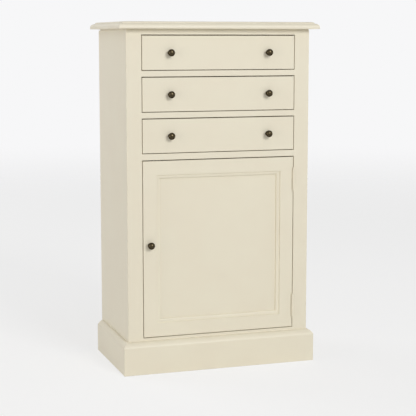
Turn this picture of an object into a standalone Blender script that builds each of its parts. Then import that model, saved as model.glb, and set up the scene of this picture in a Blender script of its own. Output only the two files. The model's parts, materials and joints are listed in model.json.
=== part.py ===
"""A painted storage cabinet: three drawers over a cupboard with one framed and panelled door.

Units are metres. +Z is up, +X is to the right and the front faces -Y.
The origin is on the floor, in the middle of the cabinet's overall width and depth.
Every board, hinge leaf and knob is its own object. The drawers and the door are parented to
empties that stand on the line each of them slides along or turns about.
"""

import math

import bmesh
import bpy
from mathutils import Matrix, Vector

MM = 0.001

# Joints and clearances
TOUCH = 0.3 * MM            # left between two boards that are glued or screwed together
RUNNING_FIT = 0.4 * MM      # round the hinge knuckles, which turn
PIN_FIT = 0.08 * MM         # between the hinge pin and the bore of the knuckles
OVERRUN = 2 * MM            # how far a cutter passes the face it cuts through
WELD = 0.01 * MM            # points closer than this are one point

# Carcass
CARCASS_WIDTH = 600 * MM
CARCASS_DEPTH = 350 * MM
SIDE_THICKNESS = 18 * MM
SHELF_THICKNESS = 18 * MM
HOUSING_DEPTH = 6 * MM      # how far a shelf is let into each side
BACK_THICKNESS = 6 * MM
BACK_REBATE = 9 * MM
BACK_FLOOR_CLEARANCE = 20 * MM
BASE_RAIL_THICKNESS = 18 * MM
SHELF_SETBACK = 25 * MM     # from the back of the face frame to the shelf's front edge
SHELF_EASE = 1.5 * MM
ARRIS = 1 * MM              # rounding of the painted front edges
ARRIS_STEPS = 2

# Face frame
FRAME_THICKNESS = 20 * MM
STILE_WIDTH = 48.5 * MM
BOTTOM_RAIL_TOP = 112 * MM
BOTTOM_RAIL_HEIGHT = 50 * MM
CUPBOARD_OPENING = 560 * MM
MIDDLE_RAIL_HEIGHT = 19.5 * MM
DRAWER_OPENING = 109.5 * MM
DRAWER_RAIL_HEIGHT = 18 * MM
TOP_RAIL_HEIGHT = 14 * MM
DRAWER_COUNT = 3

# Reveals round the drawer fronts and the door
REVEAL_SIDE = 2 * MM
REVEAL_BOTTOM = 2 * MM
REVEAL_TOP = 2.5 * MM

# Top board, with two rounds on its edge and a thin bed that leaves a shadow line
TOP_THICKNESS = 22 * MM
TOP_OVERHANG = 26 * MM
TOP_BACK_OVERHANG = 12 * MM
SHADOW_LINE_HEIGHT = 4 * MM
SHADOW_LINE_DEPTH = 3.5 * MM
UPPER_ROUND_WIDTH = 10 * MM
UPPER_ROUND_HEIGHT = 4.3 * MM
QUIRK_DROP = 1 * MM
QUIRK_WIDTH = 1.5 * MM
NOSE_ROUND_WIDTH = 11.5 * MM
NOSE_ROUND_HEIGHT = 12 * MM
NOSE_UNDERSIDE_ROUND = 2.5 * MM
TOP_ROUND_STEPS = 5
UNDERSIDE_ROUND_STEPS = 3

# Plinth
PLINTH_THICKNESS = 19 * MM
PLINTH_HEIGHT = 103 * MM
PLINTH_LEDGE = 2.5 * MM
PLINTH_ROUND_HEIGHT = 16 * MM
PLINTH_ROUND_BULGE = 2.5 * MM
PLINTH_ROUND_STEPS = 6
PLINTH_CORNER_RADIUS = 2.5 * MM
PLINTH_CORNER_STEPS = 3
SKIRTING_CLEARANCE = 15 * MM  # the plinth stops short of the back by this much

# Drawer boxes
DRAWER_FRONT_THICKNESS = 20 * MM
DRAWER_SIDE_THICKNESS = 12 * MM
DRAWER_SIDE_DROP = 3 * MM     # the sides finish this far below the front's top edge
DRAWER_BACK_THICKNESS = 12 * MM
DRAWER_BACK_DROP = 8 * MM
DRAWER_BASE_THICKNESS = 6 * MM
DRAWER_BASE_HEIGHT = 8 * MM   # from the bottom edge of the sides to the base
DRAWER_GROOVE_DEPTH = 6 * MM
DRAWER_BACK_CLEARANCE = 12 * MM

# Runners, guides and kickers
RUNNER_LIP = 22 * MM
RUNNER_LIP_THICKNESS = 18 * MM
GUIDE_RISE = 25 * MM

# Door
DOOR_THICKNESS = 20 * MM
DOOR_MEMBER_FLAT = 44 * MM
MOULDING_WIDTH = 11 * MM
MOULDING_QUIRK = 3 * MM
MOULDING_ROUND_HEIGHT = 5 * MM
MOULDING_STEPS = 6
PANEL_RECESS = 10.5 * MM
PANEL_THICKNESS = 6 * MM
PANEL_GROOVE_DEPTH = 9 * MM

# Hinges
HINGE_LENGTH = 75 * MM
HINGE_INSET = 34 * MM         # from the end of the door to the end of the hinge
HINGE_KNUCKLES = 5
KNUCKLE_RADIUS = 3.75 * MM
KNUCKLE_SIDES = 24
HINGE_PIN_RADIUS = 1.6 * MM
HINGE_STAND_OUT = 1 * MM      # the pin's centre stands this far in front of the door
LEAF_THICKNESS = 1.5 * MM
LEAF_GAP = 0.6 * MM           # between the closed leaves
LEAF_EDGE_MARGIN = 2 * MM     # from the leaf's edge to the back of the door
DOOR_POCKET_CLEARANCE = 1 * MM

# Knobs
KNOB_DIAMETER = 22 * MM
KNOB_HEAD_DEPTH = 17 * MM
KNOB_PROJECTION = 23.5 * MM
KNOB_NECK_DIAMETER = 8.5 * MM
KNOB_BASE_DIAMETER = 15 * MM
KNOB_BASE_THICKNESS = 3 * MM
KNOB_HEAD_STEPS = 10
KNOB_SIDES = 24
DRAWER_KNOB_INSET = 89 * MM   # from the end of the drawer front to the knob
DOOR_KNOB_RISE = 15 * MM      # above the middle of the door

# Magnetic catch and its strike plate
CATCH_WIDTH = 46 * MM
CATCH_DEPTH = 26 * MM
CATCH_HEIGHT = 19 * MM
CATCH_EASE = 2 * MM
CATCH_INSET = 30 * MM         # from the edge of the opening to the catch
STRIKE_WIDTH = 38 * MM
STRIKE_HEIGHT = 11 * MM
STRIKE_THICKNESS = 1.4 * MM
STRIKE_DROP = 2 * MM          # from the top of the door to the strike plate

# Levels and planes that follow from the sizes above
FRONT_Y = -(CARCASS_DEPTH + TOP_BACK_OVERHANG - TOP_OVERHANG) / 2
BACK_Y = FRONT_Y + CARCASS_DEPTH
FRAME_BACK_Y = FRONT_Y + FRAME_THICKNESS
INNER_FRONT_Y = FRAME_BACK_Y + TOUCH
INNER_BACK_Y = BACK_Y - BACK_THICKNESS - TOUCH
SIDE_X = CARCASS_WIDTH / 2
INNER_X = SIDE_X - SIDE_THICKNESS
OPENING_X = SIDE_X - STILE_WIDTH
CUPBOARD_TOP = BOTTOM_RAIL_TOP + CUPBOARD_OPENING
DRAWERS_BOTTOM = CUPBOARD_TOP + MIDDLE_RAIL_HEIGHT
DRAWER_PITCH = DRAWER_OPENING + DRAWER_RAIL_HEIGHT
DRAWERS_TOP = DRAWERS_BOTTOM + DRAWER_COUNT * DRAWER_PITCH - DRAWER_RAIL_HEIGHT
CARCASS_TOP = DRAWERS_TOP + TOP_RAIL_HEIGHT
TOP_UNDERSIDE = CARCASS_TOP + SHADOW_LINE_HEIGHT
CABINET_HEIGHT = TOP_UNDERSIDE + TOP_THICKNESS
RUNNER_RISE = REVEAL_BOTTOM - TOUCH     # the runners stand above the rails by this much
RUNNER_X = OPENING_X - RUNNER_LIP
DECK_TOP = DRAWERS_BOTTOM + RUNNER_RISE
DECK_UNDERSIDE = DECK_TOP - SHELF_THICKNESS
DRAWER_HALF_WIDTH = OPENING_X - REVEAL_SIDE
DRAWER_FRONT_HEIGHT = DRAWER_OPENING - REVEAL_BOTTOM - REVEAL_TOP
DOOR_HALF_WIDTH = OPENING_X - REVEAL_SIDE
DOOR_BOTTOM = BOTTOM_RAIL_TOP + REVEAL_BOTTOM
DOOR_TOP = CUPBOARD_TOP - REVEAL_TOP
DOOR_HEIGHT = DOOR_TOP - DOOR_BOTTOM
DOOR_MEMBER_WIDTH = DOOR_MEMBER_FLAT + MOULDING_WIDTH
HINGE_X = OPENING_X - REVEAL_SIDE / 2
HINGE_Y = FRONT_Y - HINGE_STAND_OUT
HINGE_BOTTOMS = (DOOR_BOTTOM + HINGE_INSET, DOOR_TOP - HINGE_INSET - HINGE_LENGTH)

parts = None
cutters = None


def clear_scene():
    """Removes what is in the scene and makes the two collections."""
    global parts, cutters
    for old in list(bpy.data.objects):
        bpy.data.objects.remove(old, do_unlink=True)
    for old in list(bpy.data.collections):
        bpy.data.collections.remove(old)
    parts = bpy.data.collections.new("storage_cabinet")
    cutters = bpy.data.collections.new("cutters")
    bpy.context.scene.collection.children.link(parts)
    bpy.context.scene.collection.children.link(cutters)


def finish(name, colour, roughness, metallic=0.0):
    """Makes a plain Principled material."""
    material = bpy.data.materials.new(name)
    material.use_nodes = True
    shader = material.node_tree.nodes["Principled BSDF"]
    shader.inputs["Base Color"].default_value = (*colour, 1.0)
    shader.inputs["Roughness"].default_value = roughness
    shader.inputs["Metallic"].default_value = metallic
    material.diffuse_color = (*colour, 1.0)
    return material


def place(name, mesh, material, parent=None):
    """Adds a part made of the mesh, whose points are in the parent's or the world's axes."""
    part = bpy.data.objects.new(name, mesh)
    parts.objects.link(part)
    part.parent = parent
    if material:
        mesh.materials.clear()
        mesh.materials.append(material)
    return part


def place_cutter(name, mesh):
    """Adds a hidden tool that shapes parts and isn't one of them."""
    tool = bpy.data.objects.new(name, mesh)
    cutters.objects.link(tool)
    tool.hide_render = True
    tool.display_type = "WIRE"
    return tool


def boolean(part, tool, operation="DIFFERENCE"):
    """Cuts the part with the tool, or keeps only what lies inside the tool."""
    modifier = part.modifiers.new(tool.name, "BOOLEAN")
    modifier.operation = operation
    modifier.solver = "EXACT"
    modifier.object = tool
    return modifier


def box_mesh(name, low, high, eased=None, width=ARRIS, steps=ARRIS_STEPS):
    """A cube stretched from the low corner to the high one.

    eased is a test on the middle of an edge, and says which edges are rounded.
    """
    low, high = Vector(low), Vector(high)
    shape = bmesh.new()
    bmesh.ops.create_cube(shape, size=1)
    bmesh.ops.scale(shape, verts=shape.verts, vec=high - low)
    bmesh.ops.translate(shape, verts=shape.verts, vec=(low + high) / 2)
    if eased:
        edges = [e for e in shape.edges if eased((e.verts[0].co + e.verts[1].co) / 2)]
        bmesh.ops.bevel(shape, geom=edges, offset=width, segments=steps, profile=0.5,
                        affect="EDGES")
    mesh = bpy.data.meshes.new(name)
    shape.to_mesh(mesh)
    shape.free()
    return mesh


def board(name, low, high, material, parent=None, **easing):
    """A board between two corners. With a parent, the corners are in the world all the same."""
    offset = parent.location if parent else Vector()
    low, high = Vector(low) - offset, Vector(high) - offset
    if easing.get("eased"):
        chosen = easing["eased"]
        easing["eased"] = lambda middle: chosen(middle + offset)
    return place(name, box_mesh(name, low, high, **easing), material, parent)


def cutter_box(name, low, high):
    """A plain block that cuts."""
    return place_cutter(name, box_mesh(name, low, high))


def cylinder_mesh(name, radius, bottom, top, x, y, sides):
    """An upright cylinder with its axis at x and y."""
    shape = bmesh.new()
    bmesh.ops.create_cone(shape, cap_ends=True, segments=sides, radius1=radius, radius2=radius,
                          depth=top - bottom)
    bmesh.ops.translate(shape, verts=shape.verts, vec=(x, y, (bottom + top) / 2))
    mesh = bpy.data.meshes.new(name)
    shape.to_mesh(mesh)
    shape.free()
    return mesh


def prism_mesh(name, outline, thickness):
    """A flat outline filled and extruded by half its thickness each way along Z."""
    curve = bpy.data.curves.new(name, "CURVE")
    curve.dimensions = "2D"
    curve.fill_mode = "BOTH"
    curve.extrude = thickness / 2
    spline = curve.splines.new("POLY")
    spline.points.add(len(outline) - 1)
    for point, (u, v) in zip(spline.points, outline):
        point.co = (u, v, 0, 1)
    spline.use_cyclic_u = True
    drawn = bpy.data.objects.new(name, curve)
    cutters.objects.link(drawn)
    graph = bpy.context.evaluated_depsgraph_get()
    mesh = bpy.data.meshes.new_from_object(drawn.evaluated_get(graph))
    bpy.data.objects.remove(drawn, do_unlink=True)
    shape = bmesh.new()
    shape.from_mesh(mesh)
    bmesh.ops.remove_doubles(shape, verts=shape.verts, dist=WELD)
    bmesh.ops.recalc_face_normals(shape, faces=shape.faces)
    shape.to_mesh(mesh)
    shape.free()
    return mesh


def stacked_rectangles_mesh(name, rings):
    """A solid lofted through level rectangles, from the lowest to the last.

    A ring is (low x, high x, low y, high y, z). The slopes between rings meet in mitres.
    """
    shape = bmesh.new()
    loops = []
    for low_x, high_x, low_y, high_y, z in rings:
        corners = ((low_x, low_y), (high_x, low_y), (high_x, high_y), (low_x, high_y))
        loops.append([shape.verts.new((x, y, z)) for x, y in corners])
    for lower, upper in zip(loops, loops[1:]):
        for i, vertex in enumerate(lower):
            shape.faces.new((vertex, lower[i - 1], upper[i - 1], upper[i]))
    shape.faces.new(loops[0])
    shape.faces.new(loops[-1])
    bmesh.ops.recalc_face_normals(shape, faces=shape.faces)
    mesh = bpy.data.meshes.new(name)
    shape.to_mesh(mesh)
    shape.free()
    return mesh


def quarter_round(width, height, steps):
    """Points of a quarter ellipse that starts flat and ends upright, without its start."""
    turns = [math.pi / 2 * step / steps for step in range(1, steps + 1)]
    return [(width * math.sin(turn), height * (1 - math.cos(turn))) for turn in turns]


def shallow_arc(start, end, bulge, steps):
    """Points of an arc between two points, bulging to the left of the way from start to end."""
    start, end = Vector(start), Vector(end)
    chord = end - start
    radius = (chord.length_squared / 4 + bulge * bulge) / (2 * bulge)
    side = Vector((-chord.y, chord.x)).normalized()
    centre = (start + end) / 2 - side * (radius - bulge)
    sweep = 2 * math.asin(chord.length / 2 / radius)
    points = []
    for step in range(steps + 1):
        turn = sweep / 2 - sweep * step / steps
        direction = side * math.cos(turn) - chord.normalized() * math.sin(turn)
        points.append(tuple(centre + direction * radius))
    return points


def make_carcass(paint, timber):
    """The sides, the back, the boards housed between the sides and the rail under them."""
    boards = {
        "cupboard_floor": (BOTTOM_RAIL_TOP, INNER_FRONT_Y),
        "shelf": ((BOTTOM_RAIL_TOP + CUPBOARD_TOP + SHELF_THICKNESS) / 2,
                  FRAME_BACK_Y + SHELF_SETBACK),
        "drawer_deck": (DECK_TOP, INNER_FRONT_Y),
    }
    housings = []
    for name, (top, front) in boards.items():
        reach = INNER_X + HOUSING_DEPTH - TOUCH
        eased = None
        if name == "shelf":
            eased = is_front_edge(front)
        board(name, (-reach, front, top - SHELF_THICKNESS), (reach, INNER_BACK_Y, top), timber,
              eased=eased, width=SHELF_EASE)
        cut = INNER_X + HOUSING_DEPTH
        housings.append(cutter_box(
            name + "_housing",
            (-cut, front - TOUCH if name == "shelf" else FRONT_Y, top - SHELF_THICKNESS - TOUCH),
            (cut, BACK_Y + OVERRUN, top + TOUCH)))

    reach = INNER_X + BACK_REBATE
    board("back_panel", (-reach + TOUCH, BACK_Y - BACK_THICKNESS, BACK_FLOOR_CLEARANCE),
          (reach - TOUCH, BACK_Y, CARCASS_TOP), timber)
    rebate = cutter_box("back_rebate", (-reach, INNER_BACK_Y, -OVERRUN),
                        (reach, BACK_Y + OVERRUN, CARCASS_TOP + OVERRUN))
    board("base_rail_back", (-INNER_X + TOUCH, INNER_BACK_Y - BASE_RAIL_THICKNESS, 0),
          (INNER_X - TOUCH, INNER_BACK_Y, BOTTOM_RAIL_TOP - SHELF_THICKNESS - TOUCH), timber)

    for side, sign in (("left", -1), ("right", 1)):
        low_x, high_x = sorted((sign * SIDE_X, sign * INNER_X))
        panel = board("side_panel_" + side, (low_x, INNER_FRONT_Y, 0),
                      (high_x, BACK_Y, CARCASS_TOP), paint)
        for tool in housings + [rebate]:
            boolean(panel, tool)


def is_front_edge(y):
    """A test for the edges that lie in the plane at y."""
    return lambda middle: abs(middle.y - y) < WELD


def make_face_frame(paint, hinge_tools):
    """Two stiles that reach the floor and the rails between them."""
    for side, sign in (("left", -1), ("right", 1)):
        low_x, high_x = sorted((sign * SIDE_X, sign * OPENING_X))
        outer = Vector((sign * SIDE_X, FRONT_Y, 0))
        stile = board("stile_" + side, (low_x, FRONT_Y, 0), (high_x, FRAME_BACK_Y, CARCASS_TOP),
                      paint, eased=is_upright_at(outer))
        if sign > 0:
            for tool in hinge_tools:
                boolean(stile, tool)

    rails = {
        "rail_bottom": (BOTTOM_RAIL_TOP - BOTTOM_RAIL_HEIGHT, BOTTOM_RAIL_TOP),
        "rail_middle": (CUPBOARD_TOP, DRAWERS_BOTTOM),
        "rail_top": (DRAWERS_TOP, CARCASS_TOP),
    }
    for index, name in enumerate(("rail_drawers_lower", "rail_drawers_upper")):
        low = DRAWERS_BOTTOM + DRAWER_OPENING + index * DRAWER_PITCH
        rails[name] = (low, low + DRAWER_RAIL_HEIGHT)
    reach = OPENING_X - TOUCH
    for name, (low, high) in rails.items():
        board(name, (-reach, FRONT_Y, low), (reach, FRAME_BACK_Y, high), paint)


def is_upright_at(corner):
    """A test for the upright edge that passes over the corner."""
    return lambda middle: (middle - corner).xy.length < WELD


def top_edge_profile():
    """Points of the top board's edge as (overhang, height above the underside), top first."""
    points = [(TOP_OVERHANG - NOSE_ROUND_WIDTH - QUIRK_WIDTH - UPPER_ROUND_WIDTH, TOP_THICKNESS)]
    for out, down in quarter_round(UPPER_ROUND_WIDTH, UPPER_ROUND_HEIGHT, TOP_ROUND_STEPS):
        points.append((points[0][0] + out, TOP_THICKNESS - down))
    edge, level = points[-1]
    points.append((edge, level - QUIRK_DROP))
    edge, level = edge + QUIRK_WIDTH, level - QUIRK_DROP
    points.append((edge, level))
    for out, down in quarter_round(NOSE_ROUND_WIDTH, NOSE_ROUND_HEIGHT, TOP_ROUND_STEPS):
        points.append((edge + out, level - down))
    radius = NOSE_UNDERSIDE_ROUND
    points.append((TOP_OVERHANG, radius))
    for step in range(1, UNDERSIDE_ROUND_STEPS + 1):
        turn = math.pi / 2 * step / UNDERSIDE_ROUND_STEPS
        points.append((TOP_OVERHANG - radius * (1 - math.cos(turn)),
                       radius - radius * math.sin(turn)))
    return points


def make_top(paint):
    """The moulded top board, with the thin bed under it that leaves a shadow line."""
    rings = []
    for overhang, level in top_edge_profile():
        inset = TOP_OVERHANG - overhang
        rings.append((-SIDE_X - overhang, SIDE_X + overhang, FRONT_Y - overhang,
                      BACK_Y + TOP_BACK_OVERHANG - inset, TOP_UNDERSIDE + level))
    for level in (TOP_UNDERSIDE, CARCASS_TOP + TOUCH):
        rings.append((-SIDE_X + SHADOW_LINE_DEPTH, SIDE_X - SHADOW_LINE_DEPTH,
                      FRONT_Y + SHADOW_LINE_DEPTH, BACK_Y - SHADOW_LINE_DEPTH, level))
    place("top_board", stacked_rectangles_mesh("top_board", rings), paint)


def plinth_section():
    """The plinth's section as (distance out from the carcass, height)."""
    shoulder = PLINTH_HEIGHT - PLINTH_ROUND_HEIGHT
    arc = shallow_arc((PLINTH_LEDGE, PLINTH_HEIGHT), (PLINTH_THICKNESS, shoulder),
                      PLINTH_ROUND_BULGE, PLINTH_ROUND_STEPS)
    return [(TOUCH, 0), (TOUCH, PLINTH_HEIGHT)] + arc + [(PLINTH_THICKNESS, 0)]


def mitred_strip(name, length, low_mitre, high_mitre, out, along, middle):
    """A length of plinth. out and along are the world directions of its section and length."""
    mesh = prism_mesh(name, plinth_section(), length)
    cut_back = TOUCH * math.sqrt(2) / 2
    for vertex in mesh.vertices:
        if vertex.co.z > 0 and high_mitre:
            vertex.co.z += vertex.co.x - cut_back
        if vertex.co.z < 0 and low_mitre:
            vertex.co.z -= vertex.co.x - cut_back
    axes = Matrix((out, (0, 0, 1), along)).transposed().to_4x4()
    mesh.transform(Matrix.Translation(middle) @ axes)
    return mesh


def make_plinth(paint):
    """Three boards round the foot of the carcass, mitred at the two front corners."""
    outer_x = SIDE_X + PLINTH_THICKNESS
    outer_y = FRONT_Y - PLINTH_THICKNESS
    end_y = BACK_Y - SKIRTING_CLEARANCE
    corner_guide = place_cutter("plinth_corners", box_mesh(
        "plinth_corners", (-outer_x, outer_y, -OVERRUN), (outer_x, end_y, PLINTH_HEIGHT + OVERRUN),
        eased=lambda middle: middle.y < FRONT_Y and abs(middle.x) > SIDE_X,
        width=PLINTH_CORNER_RADIUS, steps=PLINTH_CORNER_STEPS))
    side_length = end_y - FRONT_Y
    side_middle = (end_y + FRONT_Y) / 2
    strips = {
        "plinth_front": (CARCASS_WIDTH, True, True, (0, -1, 0), (-1, 0, 0), (0, FRONT_Y, 0)),
        "plinth_left": (side_length, True, False, (-1, 0, 0), (0, 1, 0),
                        (-SIDE_X, side_middle, 0)),
        "plinth_right": (side_length, False, True, (1, 0, 0), (0, -1, 0),
                         (SIDE_X, side_middle, 0)),
    }
    for name, shape in strips.items():
        strip = place(name, mitred_strip(name, *shape), paint)
        boolean(strip, corner_guide, "INTERSECT")


def drawer_level(index):
    """The height of the rail under a drawer, counted from the bottom drawer."""
    return DRAWERS_BOTTOM + index * DRAWER_PITCH


def make_runners(timber):
    """What carries and guides the drawers behind the face frame, on both sides."""
    length = INNER_BACK_Y - INNER_FRONT_Y
    middle_y = (INNER_BACK_Y + INNER_FRONT_Y) / 2
    outer, guide, inner = INNER_X - TOUCH, OPENING_X, RUNNER_X
    lip = RUNNER_LIP_THICKNESS
    section = [(inner, 0), (inner, -lip), (outer, -lip), (outer, GUIDE_RISE),
               (guide, GUIDE_RISE), (guide, 0)]
    for side, sign in (("left", -1), ("right", 1)):
        for index, name in ((1, "runner_middle_"), (2, "runner_upper_")):
            mesh = prism_mesh(name + side, section, length)
            axes = Matrix(((sign, 0, 0), (0, 0, 1), (0, 1, 0))).transposed().to_4x4()
            top = drawer_level(index) + RUNNER_RISE
            mesh.transform(Matrix.Translation((0, middle_y, top)) @ axes)
            if sign > 0:
                mesh.flip_normals()
            place(name + side, mesh, timber)

        low_x, high_x = sorted((sign * outer, sign * guide))
        board("guide_lower_" + side, (low_x, INNER_FRONT_Y, DECK_TOP + TOUCH),
              (high_x, INNER_BACK_Y, DECK_TOP + TOUCH + GUIDE_RISE), timber)
        low_x, high_x = sorted((sign * outer, sign * inner))
        board("kicker_" + side, (low_x, INNER_FRONT_Y, DRAWERS_TOP),
              (high_x, INNER_BACK_Y, CARCASS_TOP), timber)


def knob_profile():
    """Half of the knob's outline as (radius, height), from the crown down to the base."""
    crown = KNOB_PROJECTION
    head = KNOB_DIAMETER / 2
    neck = KNOB_NECK_DIAMETER / 2
    base = KNOB_BASE_DIAMETER / 2
    middle = crown - KNOB_HEAD_DEPTH / 2
    points = [(0, crown)]
    for step in range(1, KNOB_HEAD_STEPS):
        turn = math.pi * step / KNOB_HEAD_STEPS
        radius = head * math.sin(turn)
        if turn > math.pi / 2 and radius < neck:
            break
        points.append((radius, middle + KNOB_HEAD_DEPTH / 2 * math.cos(turn)))
    points.append((neck, crown - KNOB_HEAD_DEPTH))
    points.append((neck, KNOB_BASE_THICKNESS * 2))
    points.append(((neck + base) / 2, KNOB_BASE_THICKNESS + TOUCH))
    points.append((base, KNOB_BASE_THICKNESS / 2))
    points.append((base, 0))
    points.append((0, 0))
    return points


def knob(name, x, z, metal, parent):
    """A turned knob that stands out of the front at x and z."""
    profile = knob_profile()
    mesh = bpy.data.meshes.new(name)
    mesh.from_pydata([(radius, 0, height) for radius, height in profile],
                     [(i, i + 1) for i in range(len(profile) - 1)], [])
    turned = place(name, mesh, metal, parent)
    turned.location = Vector((x, FRONT_Y - TOUCH, z)) - parent.location
    turned.rotation_euler = (math.pi / 2, 0, 0)
    screw = turned.modifiers.new("turning", "SCREW")
    screw.steps = screw.render_steps = KNOB_SIDES
    screw.use_merge_vertices = True
    screw.merge_threshold = WELD
    screw.use_smooth_shade = True
    return turned


def anchor(name, location):
    """The empty that a moving body hangs on."""
    empty = bpy.data.objects.new(name, None)
    empty.location = location
    parts.objects.link(empty)
    return empty


def make_drawer(number, index, paint, timber, metal):
    """One drawer. index counts from the bottom and number from the top."""
    name = "drawer_%d_" % number
    bottom = drawer_level(index) + REVEAL_BOTTOM
    top = bottom + DRAWER_FRONT_HEIGHT
    slide = anchor(name + "slide", (0, FRONT_Y, (bottom + top) / 2))
    front_back_y = FRONT_Y + DRAWER_FRONT_THICKNESS
    end_y = INNER_BACK_Y - DRAWER_BACK_CLEARANCE
    side_inner_x = DRAWER_HALF_WIDTH - DRAWER_SIDE_THICKNESS
    side_top = top - DRAWER_SIDE_DROP
    base_bottom = bottom + DRAWER_BASE_HEIGHT
    base_top = base_bottom + DRAWER_BASE_THICKNESS

    groove_x = side_inner_x + DRAWER_GROOVE_DEPTH
    groove_y = front_back_y - DRAWER_GROOVE_DEPTH
    groove = cutter_box(name + "groove", (-groove_x, groove_y, base_bottom - TOUCH),
                        (groove_x, end_y + OVERRUN, base_top + TOUCH))
    front = board(name + "front", (-DRAWER_HALF_WIDTH, FRONT_Y, bottom),
                  (DRAWER_HALF_WIDTH, front_back_y, top), paint, slide,
                  eased=is_front_edge(FRONT_Y))
    boolean(front, groove)
    for side, sign in (("left", -1), ("right", 1)):
        low_x, high_x = sorted((sign * DRAWER_HALF_WIDTH, sign * side_inner_x))
        wall = board(name + "side_" + side, (low_x, front_back_y + TOUCH, bottom),
                     (high_x, end_y, side_top), timber, slide)
        boolean(wall, groove)
    board(name + "back",
          (-side_inner_x + TOUCH, end_y - DRAWER_BACK_THICKNESS, base_top + TOUCH),
          (side_inner_x - TOUCH, end_y, side_top - DRAWER_BACK_DROP), timber, slide)
    board(name + "base", (-groove_x + TOUCH, groove_y + TOUCH, base_bottom),
          (groove_x - TOUCH, end_y, base_top), timber, slide)
    knob_x = DRAWER_HALF_WIDTH - DRAWER_KNOB_INSET
    for side, x in (("left", -knob_x), ("right", knob_x)):
        knob(name + "knob_" + side, x, (bottom + top) / 2, metal, slide)


def door_blank_rings():
    """The door's edge, face and moulding as insets and depths, from the back to the recess."""
    profile = [(0, DOOR_THICKNESS), (0, ARRIS)]
    for out, down in quarter_round(ARRIS, ARRIS, ARRIS_STEPS)[::-1][1:]:
        profile.append((ARRIS - out, down))
    profile += [(ARRIS, 0), (DOOR_MEMBER_FLAT, 0), (DOOR_MEMBER_FLAT, MOULDING_QUIRK)]
    for out, down in quarter_round(MOULDING_WIDTH, MOULDING_ROUND_HEIGHT, MOULDING_STEPS):
        profile.append((DOOR_MEMBER_FLAT + out, MOULDING_QUIRK + down))
    profile.append((DOOR_MEMBER_WIDTH, PANEL_RECESS + PANEL_THICKNESS / 2))
    half = DOOR_HEIGHT / 2
    return [(-DOOR_HALF_WIDTH + inset, DOOR_HALF_WIDTH - inset, -half + inset, half - inset,
             -depth) for inset, depth in profile]


def member_outline(name):
    """The part of the door that a stile or a rail takes up, with mitres at the moulding."""
    edge_x, edge_z = DOOR_HALF_WIDTH + OVERRUN, DOOR_HEIGHT / 2 + OVERRUN
    flat_x = DOOR_HALF_WIDTH - DOOR_MEMBER_FLAT
    flat_z = DOOR_HEIGHT / 2 - DOOR_MEMBER_FLAT
    inner = MOULDING_WIDTH + OVERRUN
    half_gap = TOUCH / 2
    slack = half_gap * math.sqrt(2)
    if name.startswith("stile"):
        x = flat_x + half_gap
        z = flat_z + half_gap - slack
        outline = [(edge_x, -edge_z), (edge_x, edge_z), (x, edge_z), (x, z),
                   (x - inner, z - inner), (x - inner, -z + inner), (x, -z), (x, -edge_z)]
        sign = 1 if name == "stile_hinge" else -1
        return [(sign * u, v) for u, v in outline][::sign]
    x = flat_x - half_gap
    z = flat_z - half_gap + slack
    outline = [(-x, edge_z), (-x, z), (-x + inner, z - inner), (x - inner, z - inner), (x, z),
               (x, edge_z)]
    sign = 1 if name == "rail_top" else -1
    return [(u, sign * v) for u, v in outline][::sign]


def make_door(paint, metal, steel, hinge_tools):
    """The door's four members with a stuck moulding, its panel, knob and strike plate."""
    pivot = anchor("door_hinge", (HINGE_X, HINGE_Y, 0))
    middle = Vector((0, FRONT_Y, (DOOR_BOTTOM + DOOR_TOP) / 2))
    upright = Matrix.Translation(middle) @ Matrix.Rotation(math.pi / 2, 4, "X")
    opening_x = DOOR_HALF_WIDTH - DOOR_MEMBER_WIDTH
    opening_z = DOOR_HEIGHT / 2 - DOOR_MEMBER_WIDTH
    panel_front = FRONT_Y + PANEL_RECESS
    panel_back = panel_front + PANEL_THICKNESS
    reach_x, reach_z = opening_x + PANEL_GROOVE_DEPTH, opening_z + PANEL_GROOVE_DEPTH
    groove = cutter_box("door_groove", (-reach_x, panel_front - TOUCH, middle.z - reach_z),
                        (reach_x, panel_back + TOUCH, middle.z + reach_z))
    aperture = cutter_box(
        "door_aperture", (-opening_x, panel_back - PANEL_THICKNESS / 4, middle.z - opening_z),
        (opening_x, FRONT_Y + DOOR_THICKNESS + OVERRUN, middle.z + opening_z))
    to_pivot = Matrix.Translation(-pivot.location)
    for name in ("stile_lock", "stile_hinge", "rail_top", "rail_bottom"):
        outline = prism_mesh(name + "_outline", member_outline(name),
                             2 * (DOOR_THICKNESS + OVERRUN))
        outline.transform(upright)
        blank = stacked_rectangles_mesh("door_" + name, door_blank_rings())
        blank.transform(to_pivot @ upright)
        member = place("door_" + name, blank, paint, pivot)
        boolean(member, place_cutter(name + "_outline", outline), "INTERSECT")
        boolean(member, groove)
        boolean(member, aperture)
        if name == "stile_hinge":
            for tool in hinge_tools:
                boolean(member, tool)
    board("door_panel", (-reach_x + TOUCH, panel_front, middle.z - reach_z + TOUCH),
          (reach_x - TOUCH, panel_back, middle.z + reach_z - TOUCH), paint, pivot)
    knob("door_knob", -DOOR_HALF_WIDTH + DOOR_MEMBER_FLAT / 2, middle.z + DOOR_KNOB_RISE, metal,
         pivot)

    strike_front = FRONT_Y + DOOR_THICKNESS + TOUCH
    strike_x = -OPENING_X + CATCH_INSET + CATCH_WIDTH / 2
    board("strike_plate",
          (strike_x - STRIKE_WIDTH / 2, strike_front, DOOR_TOP - STRIKE_DROP - STRIKE_HEIGHT),
          (strike_x + STRIKE_WIDTH / 2, strike_front + STRIKE_THICKNESS, DOOR_TOP - STRIKE_DROP),
          steel, pivot)
    return pivot


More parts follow.
